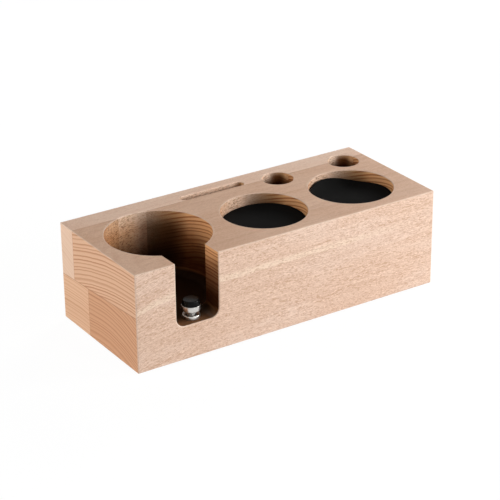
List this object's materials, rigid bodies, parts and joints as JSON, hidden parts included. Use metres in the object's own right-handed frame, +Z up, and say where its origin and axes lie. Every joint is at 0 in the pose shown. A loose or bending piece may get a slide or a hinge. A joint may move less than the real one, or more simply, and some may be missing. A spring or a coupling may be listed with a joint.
{
  "type": "espresso tamping station",
  "caption": "Glued-up wood block with a round tamping well, a neck slot with a height-adjustable rest, two mat-lined pockets, round tool holes and a narrow tool slot.",
  "frame": {"origin": "centre of the base, on the surface that the pads stand on", "axes": "+X along the length, with the tamping well at -X; +Y from the front face, which has the neck slot, to the back; +Z up"},
  "size_m": [0.24, 0.1, 0.0725],
  "materials": {
    "wood_mid": "matt oiled hardwood, fine pores",
    "wood_pale": "matt oiled hardwood, paler stave",
    "wood_warm": "matt oiled hardwood, warmer stave",
    "mat_rubber": "matt black",
    "pad_rubber": "matt black",
    "cap_rubber": "satin black",
    "bright_chrome": "polished",
    "stud_steel": "bright",
    "insert_brass": "plain turned"
  },
  "bodies": {
    "block": {"stave_upper_back": "wood_pale", "stave_upper_front_left": "wood_mid", "stave_upper_front_right": "wood_mid", "stave_lower_back": "wood_mid", "stave_lower_front": "wood_warm", "mat_left": "mat_rubber", "mat_right": "mat_rubber", "floor_insert": "insert_brass", "lock_ring": "bright_chrome", "foot_pad_front_left": "pad_rubber", "foot_pad_front_right": "pad_rubber", "foot_pad_back_left": "pad_rubber", "foot_pad_back_right": "pad_rubber"},
    "neck_rest": {"rest_stud": "stud_steel", "rest_cup": "bright_chrome", "rest_cap": "cap_rubber"}
  },
  "joints": [
    {"name": "neck_rest_height", "type": "slide", "parent": "block", "child": "neck_rest", "axis": [0, 0, 1], "range_m": [-0.0025, 0.007]}
  ]
}
